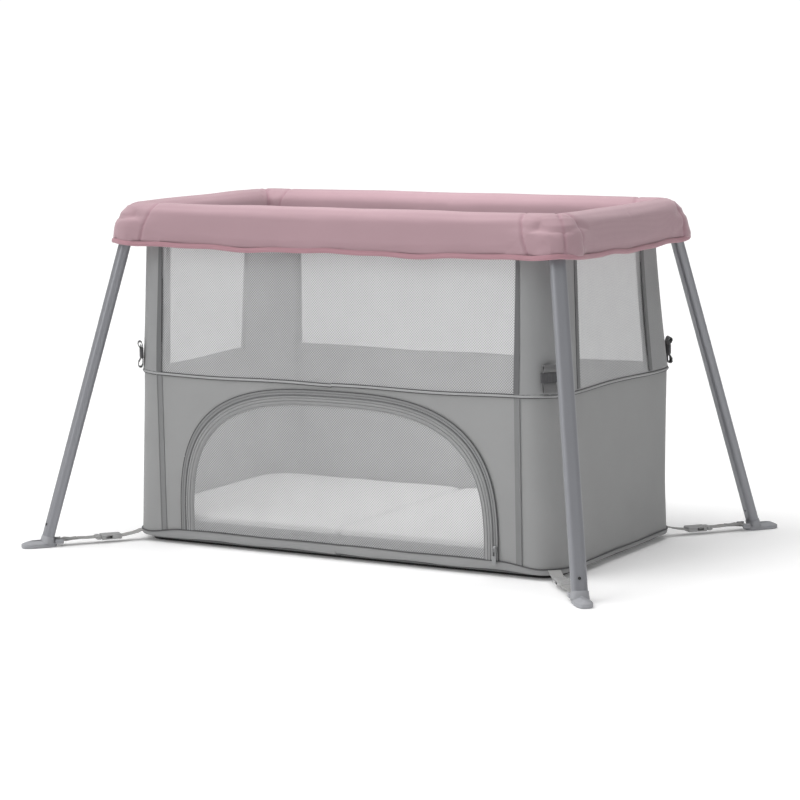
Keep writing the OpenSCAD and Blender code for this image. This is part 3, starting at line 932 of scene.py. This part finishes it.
def make_door():
    for name, side in SIDES.items():
        body = "door_" + name
        net = net_panel([p for p, u in arch_row(side, -0.016, 0.0002)], DOOR_Z)
        panel = finish_mesh(net, "door_net_" + name, smooth=False)
        dress(panel, CLOTH["net"])
        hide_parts(body)
        band = sweep(lambda row: arch_row(side, row[0], row[1]), BORDER)
        thicken(band, 0.0010)
        border = finish_mesh(band, "door_border_" + name)
        dress(border, CLOTH["border"])
        for piece in (panel, border):
            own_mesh(piece)
            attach(piece, body)
        low, high = DOOR_Z - SILL, DOOR_Z
        corner = side * (DOOR_W - 0.016)
        rim = [Vector((x, front_y(z, 0.0002), z)) for x, z in ((0, high), (corner, high), (corner, low))]
        sill = finish_mesh(net_panel(rim, low), "door_sill_net_" + name, smooth=False)
        dress(sill, CLOTH["net"])
        band = straight_band(side, BORDER, low, high)
        thicken(band, 0.0010)
        post = finish_mesh(band, "door_sill_border_" + name)
        dress(post, CLOTH["border"])
        band = sweep(lambda row: arch_row(side, row[0], row[1], foot=SILL), TAPE)
        thicken(band, 0.0012)
        tape = finish_mesh(band, "zip_tape_" + name)
        dress(tape, CLOTH["tape"])
        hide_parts(name + "_zip_tape")
        line = [p for p, u in arch_row(side, 0.0003, 0.0014, 90, SILL)]
        teeth = cord_tube("zip_teeth_" + name, line, 0.0012, 6)
        dress(teeth, HARD["teeth"])
        # dark cord beside the zip tape: painted shade in the seam crease
        line = [p for p, u in arch_row(side, 0.0104, 0.0012, 90, SILL)]
        seam = cord_tube("zip_seam_" + name, line, 0.0010, 6)
        dress(seam, CLOTH["seam_shade_lines"])
        for piece in (sill, post, tape, teeth, seam):
            gathers(piece, name)


# ---------------------------------------------------------------- floor, boards, mattress
def make_floor():
    for name, side in SIDES.items():
        rows = [(FLOOR_SEAM + 0.0005, -0.0006), (FLOOR_SEAM - 0.002, 0.0012), (0.0240, 0.0010),
                (0.0180, 0.0002), (0.0142, -0.0014), (0.0126, -0.0040), (0.0118, -0.0105),
                (0.0100, -0.0200), (0.0012, -0.0230)]

        def droop(t, z):
            if z <= 0.0117:
                return 0
            return 0.0011 * math.sin(run_length(t) * 37 + 2 * side) * unit((0.026 - z) / 0.01)

        bm = sweep(lambda row: [
            (Vector((*outline(side, t, LOW_X, LOW_Y, WALL_R, row[1]
             + 0.0010 * noise.noise(Vector((run_length(t) * 8 * side, row[0] * 20, 4))))[0],
             row[0] + droop(t, row[0]))), run_length(t))
            for t in stations()], rows)
        last = [e for e in bm.edges
                if len(e.link_faces) == 1 and all(abs(v.co.z - rows[-1][0]) < 1e-5 for v in e.verts)]
        ends = sorted({v for e in last for v in e.verts if abs(v.co.x) < TINY}, key=lambda v: v.co.y)
        last.append(bm.edges.new((ends[0], ends[-1])))
        bmesh.ops.edgeloop_fill(bm, edges=last)
        thicken(bm, 0.0012)
        tray = finish_mesh(bm, "floor_tray_cloth_" + name)
        settle(tray)
        shade_by_angle(tray, 50)
        dress(tray, CLOTH["tray"])
        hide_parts(name + "_floor_tray")
        gathers(tray, name)

        lo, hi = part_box(name + "_board")
        board = slab_form(side, hi.x if side > 0 else -lo.x, hi.y, 0.042, lo.z, hi.z, 0.003)
        board = finish_mesh(board, "mattress_board_" + name)
        shade_by_angle(board, 40)
        dress(board, CLOTH["board"])
        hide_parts(name + "_board")
        lo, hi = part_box(name + "_mattress")
        pad = slab_form(side, (hi.x if side > 0 else -lo.x) - 0.003, hi.y - 0.003, 0.046,
                        lo.z + 0.001, hi.z - 0.002, 0.008)
        pad = finish_mesh(pad, "mattress_pad_" + name)
        inflate(pad, 0.006, 0.003, 2.0)
        dress(pad, CLOTH["mattress"])
        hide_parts(name + "_mattress")
        for piece in (board, pad):
            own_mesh(piece)
            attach(piece, "mattress_" + name)


def slab_form(side, x, y, r, lo, hi, bevel):
    """Half of a flat pad with rounded outer corners."""
    bm = bmesh.new()
    pts = [bm.verts.new((*outline(side, t, x, y, r)[0], lo)) for t in stations((1, 8, 1, 8, 1))]
    for v in pts:
        if abs(v.co.x) < TINY:
            v.co.x = side * 0.0004
    face = bm.faces.new(pts)
    made = bmesh.ops.extrude_face_region(bm, geom=[face])
    bmesh.ops.translate(bm, vec=(0, 0, hi - lo), verts=points_of(made))
    bmesh.ops.recalc_face_normals(bm, faces=bm.faces)
    sharp = [e for e in bm.edges if abs(e.verts[0].co.z - e.verts[1].co.z) < TINY]
    bmesh.ops.bevel(bm, geom=sharp, offset=bevel, offset_type="OFFSET", segments=3, affect="EDGES",
                    profile=0.5, material=-1, clamp_overlap=True)
    return bm


# ---------------------------------------------------------------- legs, feet, floor straps
ANKLE_X, ANKLE_Y = PEN_X + REACH_X, PEN_Y + REACH_Y
PIVOT = Vector((PEN_X - 0.031, PEN_Y - 0.018, TOP - 0.064))
TO_BASE = Vector((ANKLE_X - (LOW_X - 0.017), ANKLE_Y - (LOW_Y - 0.016), 0))
FOOT_DIR = TO_BASE.normalized()
STRAP_LEN = TO_BASE.length - 0.025


def placing(x, y, z, at):
    """Matrix that turns a piece's own axes to these and puts its origin there."""
    return Matrix(((x.x, y.x, z.x, at.x), (x.y, y.y, z.y, at.y), (x.z, y.z, z.z, at.z), (0, 0, 0, 1)))


def foot_frame(side, depth):
    """Local x runs out along the foot, local z up, from the ankle on the floor."""
    x = Vector((side * FOOT_DIR.x, depth * FOOT_DIR.y, 0))
    z = Vector((0, 0, 1))
    return placing(x, z.cross(x), z, Vector((side * ANKLE_X, depth * ANKLE_Y, 0)))


def strap_frame(side, depth):
    """Local x runs from the bar on the foot to the base."""
    return foot_frame(side, depth) @ Matrix.Translation(STRAP_BAR) @ Matrix.Rotation(math.pi, 4, "Z")


def leg_frame(side, depth):
    """Local z runs up the leg from its lower end."""
    at = Vector((side * ANKLE_X, depth * ANKLE_Y, ANKLE_H))
    up = (Vector((side * PIVOT.x, depth * PIVOT.y, PIVOT.z)) - at).normalized()
    x = Vector((-depth * REACH_Y, side * REACH_X, 0)).normalized()
    y = up.cross(x).normalized()
    return placing(y.cross(up), y, up, at)


def oval_loop(bm, w, t, z, n=32):
    pts = []
    for i in range(n):
        a = 2 * math.pi * i / n
        c, s = math.cos(a), math.sin(a)
        pts.append(bm.verts.new((blunt(c, 0.8) * w, blunt(s, 0.8) * t, z)))
    return [bm.edges.new((pts[i], pts[(i + 1) % n])) for i in range(n)]


def make_feet():
    for name, side in SIDES.items():
        for end, depth in DEPTHS.items():
            sole = bmesh.new()
            # boat-shaped sole: rounded toe outwards, narrower heel
            def plan(scale_w, grow, z):
                pts = []
                for i in range(36):
                    a = 2 * math.pi * i / 36
                    c, s = math.cos(a), math.sin(a)
                    x = 0.0165 + (0.0342 + grow) * blunt(c, 0.55)
                    taper = 1.0 - 0.06 * max(0.0, -c) - 0.10 * max(0.0, c)
                    y = (0.0158 + grow) * scale_w * taper * blunt(s, 0.62)
                    pts.append(Vector((x, y, z)))
                return pts
            levels = [(1.0, -0.0008, 0.0), (1.0, 0.0, 0.0010), (1.0, 0.0, 0.0066), (1.0, -0.0008, 0.0076),
                      (0.98, -0.0040, 0.0092), (0.94, -0.0090, 0.0114), (0.85, -0.0150, 0.0132),
                      (0.60, -0.0200, 0.0138)]
            number = sole.verts.layers.int.new("number")
            verts = [sole.verts.new(p) for p in plan(*levels[0])]
            for i, v in enumerate(verts):
                v[number] = i
            edges = [sole.edges.new((verts[i], verts[(i + 1) % 36])) for i in range(36)]
            bottom = list(edges)
            for level in levels[1:]:
                new, edges = extrude_line(sole, edges)
                line = plan(*level)
                for v in new:
                    v.co = line[v[number]]
            bmesh.ops.edgeloop_fill(sole, edges=bottom)
            bmesh.ops.edgeloop_fill(sole, edges=edges)
            bmesh.ops.transform(sole, matrix=foot_frame(side, depth), verts=sole.verts)
            # cup round the end of the leg, with a rolled lip
            cup = bmesh.new()
            number = cup.verts.layers.int.new("number")
            edges = oval_loop(cup, 0.0172, 0.0122, -0.006)
            for i, v in enumerate(cup.verts):
                v[number] = i
            for w, t, z in ((0.0166, 0.0116, 0.001), (0.0163, 0.0113, 0.0068), (0.0161, 0.0111, 0.0078),
                            (0.0157, 0.0107, 0.0082), (0.0153, 0.0103, 0.0080), (0.0152, 0.0102, 0.0040)):
                new, edges = extrude_line(cup, edges)
                for v in new:
                    a = 2 * math.pi * v[number] / 32
                    c, s = math.cos(a), math.sin(a)
                    v.co = (blunt(c, 0.8) * w, blunt(s, 0.8) * t, z)
            for v in cup.verts:
                v.co = leg_frame(side, depth) @ v.co
                v.co.z = max(v.co.z, 0.004)
            lugs = []
            for s in (-1, 1):
                lug = block((0.016, 0.0026, 0.0095), (-0.0215, s * 0.0140, 0.0100), 0.0011)
                bmesh.ops.transform(lug, matrix=foot_frame(side, depth), verts=lug.verts)
                lugs.append(lug)
            bar = bmesh.new()
            bmesh.ops.create_cone(bar, cap_ends=True, segments=16, radius1=0.0023, radius2=0.0023,
                                  depth=0.0285)
            bmesh.ops.rotate(bar, matrix=Matrix.Rotation(math.pi / 2, 3, "X"), verts=bar.verts)
            bmesh.ops.translate(bar, vec=STRAP_BAR, verts=bar.verts)
            bmesh.ops.transform(bar, matrix=foot_frame(side, depth), verts=bar.verts)
            foot = join([sole, cup, bar] + lugs, f"leg_foot_{end}_{name}")
            shade_by_angle(foot, 40)
            dress(foot, HARD["foot"])
            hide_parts(f"{end}_{name}_foot")
            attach(foot, f"{end}_{name}_leg")
            screw = bmesh.new()
            bmesh.ops.create_cone(screw, cap_ends=True, segments=20, radius1=0.0030, radius2=0.0024,
                                  depth=0.0016)
            bmesh.ops.bevel(screw, geom=screw.edges[:], offset=0.0004, segments=2, affect="EDGES",
                            profile=0.5, material=-1)
            bmesh.ops.rotate(screw, matrix=Matrix.Rotation(-math.pi / 2, 3, "X"), verts=screw.verts)
            leg = leg_frame(side, depth)
            face = (leg @ Vector((0, 1, 0)) - leg @ Vector((0, 0, 0))).dot(Vector((side, depth, 0)))
            bmesh.ops.translate(screw, vec=(0, math.copysign(SCREW_OUT, face), SCREW_UP), verts=screw.verts)
            bmesh.ops.transform(screw, matrix=leg, verts=screw.verts)
            screw = finish_mesh(screw, f"leg_screw_{end}_{name}")
            shade_by_angle(screw, 40)
            dress(screw, HARD["screw"])
            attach(screw, f"{end}_{name}_leg")


def strap_sheet(side, depth, points, width):
    """Flat webbing along a line in the strap's own frame, given as (along, height)."""
    matrix = strap_frame(side, depth)
    bm = sweep(lambda row: [
        (matrix @ Vector((row[0], v * width, row[1])), v * width + width)
        for v in (-0.5, -0.47, -0.25, 0, 0.25, 0.47, 0.5)], points)
    thicken(bm, 0.0015)
    return bm


def make_straps():
    for name, side in SIDES.items():
        for end, depth in DEPTHS.items():
            matrix = strap_frame(side, depth)
            loop = [(0.0040 * math.cos(a) - 0.0002, 0.0040 * math.sin(a)) for a in
                    [math.radians(d) for d in range(20, 341, 20)]]
            under = [(0.010, -0.0014), (0.022, 0.0000), (0.034, 0.0012)]
            over = [(0.071, 0.0016), (0.055, 0.0012), (0.040, 0.0020), (0.024, 0.0016), (0.010, 0.0036)]
            bm = strap_sheet(side, depth, over + loop + under, STRAP_W)
            strap = finish_mesh(bm, f"foot_strap_{end}_{name}")
            shade_by_angle(strap, 50)
            dress(strap, CLOTH["webbing"])
            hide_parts(f"{end}_{name}_strap")
            # body and bar, two prongs and the key between them
            parts = [block((0.0085, 0.0245, 0.0080), (0.0762, 0, 0), 0.0016),
                     block((0.0040, 0.0270, 0.0060), (0.0722, 0, 0), 0.0012)]
            for s in (-1, 1):
                parts.append(block((0.0190, 0.0036, 0.0036), (0.0885, s * 0.0076, 0), 0.0010))
            parts.append(block((0.0150, 0.0028, 0.0024), (0.0870, 0, 0), 0.0008))
            for p in parts:
                bmesh.ops.transform(p, matrix=matrix, verts=p.verts)
            tongue = join(parts, f"buckle_tongue_{end}_{name}")
            shade_by_angle(tongue, 35)
            dress(tongue, HARD["buckle"])
            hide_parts(f"{end}_{name}_tongue")
            for piece in (strap, tongue):
                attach(piece, f"{end}_{name}_strap")
            shell = block((0.041, 0.0265, 0.0102), (0.1015, 0, 0), 0.0028, 4)
            socket = finish_mesh(shell, f"buckle_socket_{end}_{name}")
            cut = bmesh.new()
            bmesh.ops.create_cube(cut, size=1.0)
            bmesh.ops.scale(cut, vec=(0.024, 0.0205, 0.0056), verts=cut.verts)
            bmesh.ops.translate(cut, vec=(0.0900, 0, 0), verts=cut.verts)
            for s in (-1, 1):
                window = Matrix.Translation((0.0960, s * 0.0132, 0)) @ Matrix.Diagonal((0.0130, 0.0075, 0.0054, 1))
                bmesh.ops.create_cube(cut, size=1.0, matrix=window)
            cutter = finish_mesh(cut, "cutter", smooth=False)
            m = socket.modifiers.new("mouth", "BOOLEAN")
            m.operation, m.solver, m.object, m.use_self = "DIFFERENCE", "EXACT", cutter, True
            apply_modifiers(socket)
            bpy.data.objects.remove(cutter)
            socket.data.transform(matrix)
            shade_by_angle(socket, 35)
            dress(socket, HARD["buckle"])
            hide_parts(name + "_sockets")
            tail_line = [(0.112, 0.0), (0.120, 0.0006), (0.130, 0.0016), (0.142, 0.0034),
                         (0.155, 0.0062), (STRAP_LEN - 0.006, 0.0088), (STRAP_LEN - 0.001, 0.0092)]
            bm = strap_sheet(side, depth, tail_line, STRAP_W)
            tail = finish_mesh(bm, f"base_strap_{end}_{name}")
            shade_by_angle(tail, 50)
            dress(tail, CLOTH["webbing"])
            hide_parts(name + "_strap_tails")
            for piece in (socket, tail):
                gathers(piece, name)


# ---------------------------------------------------------------- webbing bundles above the seam
BUNDLE_TURN = math.radians(37)      # they face outwards over the corners


def make_keepers():
    z0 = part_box("right_keepers")[0].z
    for name, side in SIDES.items():
        for end, depth in DEPTHS.items():
            n = Vector((side * math.cos(BUNDLE_TURN), depth * math.sin(BUNDLE_TURN), 0))
            along = Vector((-n.y, n.x, 0))
            start = Vector((side * (MID_X - WALL_R), depth * (MID_Y - WALL_R), z0))
            lean = corner_lean(depth * MID_Y, SEAM + 0.03)
            start += Vector((BACK_LEAN_X * side * lean, BACK_LEAN_Y * lean, 0)) + n * (WALL_R + 0.0008)

            def out(v, d, z):
                return start + along * v + n * d + Vector((0, 0, z))

            def ribbon(line, width):
                return sweep(lambda row: [(out(v * width, row[0], row[1]), v * width + width)
                                                    for v in (-0.5, -0.46, 0, 0.46, 0.5)], line)
            upper = [(0.0010, 0.018), (0.0006, 0.034), (0.0008, 0.044), (0.0030, 0.0500), (0.0064, 0.0520),
                     (0.0100, 0.0500), (0.0110, 0.0455), (0.0086, 0.0405), (0.0050, 0.0370), (0.0036, 0.030),
                     (0.0036, 0.018)]
            lower = [(0.0010, 0.036), (0.0006, 0.016), (0.0010, 0.006), (0.0036, 0.0008), (0.0080, 0.0004),
                     (0.0108, 0.0034), (0.0104, 0.011), (0.0060, 0.0180), (0.0036, 0.024), (0.0036, 0.036)]
            inner = [(0.0026, 0.030), (0.0030, 0.041), (0.0048, 0.0455), (0.0054, 0.041), (0.0040, 0.030)]
            parts = []
            for line in (upper, lower, inner):
                bm = ribbon(line, 0.0255)
                thicken(bm, 0.0012)
                parts.append(bm)
            bundle = join(parts, f"webbing_bundle_{end}_{name}")
            shade_by_angle(bundle, 50)
            dress(bundle, CLOTH["keeper_webbing"])
            ring = []
            for k in range(28):
                a = 2 * math.pi * k / 28
                c, s = math.cos(a), math.sin(a)
                ring.append((blunt(c, 0.35) * 0.0175, 0.0036 + blunt(s, 0.6) * 0.0038))
            bm = sweep(lambda z: [(out(px, py, z), k * 0.003) for k, (px, py) in enumerate(ring)],
                       [0.0195, 0.0205, 0.025, 0.031, 0.0365, 0.0375], closed=True)
            thicken(bm, 0.0012)
            elastic = finish_mesh(bm, f"bundle_keeper_{end}_{name}")
            shade_by_angle(elastic, 50)
            dress(elastic, CLOTH["elastic"])
            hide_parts(name + "_keepers")
            for piece in (bundle, elastic):
                gathers(piece, name)


# ---------------------------------------------------------------- zip slider and pull
def make_zip_pull():
    lo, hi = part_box("zip_slider")
    x, y, z = (lo.x + hi.x) / 2, hi.y, (lo.z + hi.z) / 2
    body = block((0.0080, 0.0030, 0.0120), (x, y - 0.0015, z), 0.0013)
    loop = bmesh.new()
    bmesh.ops.create_cone(loop, cap_ends=True, segments=18, radius1=0.0022, radius2=0.0022, depth=0.0028)
    bmesh.ops.rotate(loop, matrix=Matrix.Rotation(math.pi / 2, 3, "Y"), verts=loop.verts)
    bmesh.ops.translate(loop, vec=(x, y - 0.0034, z + 0.002), verts=loop.verts)
    slider = join([body, loop], "zip_slider_body")
    shade_by_angle(slider, 35)
    dress(slider, HARD["zip"])
    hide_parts("zip_slider")
    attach(slider, "zip_slider")
    plo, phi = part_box("zip_pull")
    px, pz = (plo.x + phi.x) / 2, phi.z
    # tab, and two arms that hold the pin
    parts = [block((0.0088, 0.0022, 0.0150), (px, plo.y + 0.0014, plo.z + 0.0080), 0.0010)]
    for s in (-1, 1):
        parts.append(block((0.0015, 0.0018, 0.0170), (px + s * 0.0030, plo.y + 0.0016, pz - 0.0090), 0.0005))
    pin = bmesh.new()
    bmesh.ops.create_cone(pin, cap_ends=True, segments=12, radius1=0.0007, radius2=0.0007, depth=0.0075)
    bmesh.ops.rotate(pin, matrix=Matrix.Rotation(math.pi / 2, 3, "Y"), verts=pin.verts)
    bmesh.ops.translate(pin, vec=(px, y - 0.0038, z + 0.002), verts=pin.verts)
    pull = join(parts + [pin], "zip_pull_tab")
    shade_by_angle(pull, 35)
    dress(pull, HARD["zip"])
    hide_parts("zip_pull")
    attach(pull, "zip_pull")


# ---------------------------------------------------------------- metal and plastic of the frame
def dress_frame():
    for name in SIDES:
        for part in ("front_rail", "back_rail", "end_rail"):
            dress_node(f"{name}_{part}", HARD["rail"])
        for part in ("front_hub", "back_hub", "knuckles"):
            dress_node(f"{name}_{part}", HARD["hub"])
        for end in DEPTHS:
            dress_node(f"{end}_{name}_leg", HARD["leg"])
    for end in DEPTHS:
        dress_node(end + "_lock_button", HARD["button"])


# ---------------------------------------------------------------- floor, light, camera
def make_stage():
    bm = bmesh.new()
    bmesh.ops.create_grid(bm, x_segments=1, y_segments=1, size=40.0)
    floor = finish_mesh(bm, "studio_floor", outward=False)
    f = Finish("studio_white", (0.95, 0.95, 0.95), 0.8, specular=0.1)
    f.shader.inputs["Emission Color"].default_value = (1, 1, 1, 1)
    f.shader.inputs["Emission Strength"].default_value = 0.10
    floor.data.materials.append(f.material)
    floor.location.z = -0.0005
    world = bpy.data.worlds.new("studio")
    bpy.context.scene.world = world
    world.use_nodes = True
    tree = world.node_tree
    background = tree.nodes["Background"]
    background.inputs["Color"].default_value = (1, 1, 1, 1)
    rays = tree.nodes.new("ShaderNodeLightPath")
    level = tree.nodes.new("ShaderNodeMapRange")
    level.inputs["To Min"].default_value = 0.24
    level.inputs["To Max"].default_value = 1.05
    tree.links.new(rays.outputs["Is Camera Ray"], level.inputs["Value"])
    tree.links.new(level.outputs["Result"], background.inputs["Strength"])
    suns = (("soft_sky", (-0.12, -0.14, 1.0), 2.0, 75), ("side_window", (-0.75, -0.75, 0.8), 1.1, 50))
    for name, aim, strength, spread in suns:
        light = bpy.data.lights.new(name, "SUN")
        light.energy, light.angle = strength, math.radians(spread)
        o = bpy.data.objects.new(name, light)
        o.rotation_euler = Vector(aim).to_track_quat("Z", "Y").to_euler()
        bpy.context.scene.collection.objects.link(o)
    panel = bpy.data.lights.new("overhead_panel", "AREA")
    panel.shape, panel.size, panel.size_y, panel.energy = "RECTANGLE", 0.80, 0.30, 4.5
    o = bpy.data.objects.new("overhead_panel", panel)
    o.location = (0, -0.02, 1.30)
    bpy.context.scene.collection.objects.link(o)
    bpy.context.scene.view_settings.view_transform = "Standard"


LENS_TO_SENSOR = 3.411975           # focal length over the sensor's width
CAMERA_AT = Vector((2.6397, -4.5705, 1.0066))


def make_camera():
    data = bpy.data.cameras.new("view")
    data.sensor_width = 36.0
    data.lens = LENS_TO_SENSOR * data.sensor_width
    data.clip_end = 60
    cam = bpy.data.objects.new("view", data)
    yaw, pitch, roll = -0.5244, -0.1381, -0.0117
    d = Vector((math.sin(yaw) * math.cos(pitch), math.cos(yaw) * math.cos(pitch), math.sin(pitch)))
    r = d.cross(Vector((0, 0, 1))).normalized()
    u = r.cross(d)
    right = r * math.cos(roll) + u * math.sin(roll)
    up = -r * math.sin(roll) + u * math.cos(roll)
    cam.matrix_world = placing(right, up, -d, CAMERA_AT)
    bpy.context.scene.collection.objects.link(cam)
    bpy.context.scene.camera = cam


make_stage()
make_camera()
make_cover()
make_nets()
make_posts()
make_piping()
make_lower_walls()
make_door()
make_floor()
make_feet()
make_straps()
make_keepers()
make_zip_pull()
dress_frame()
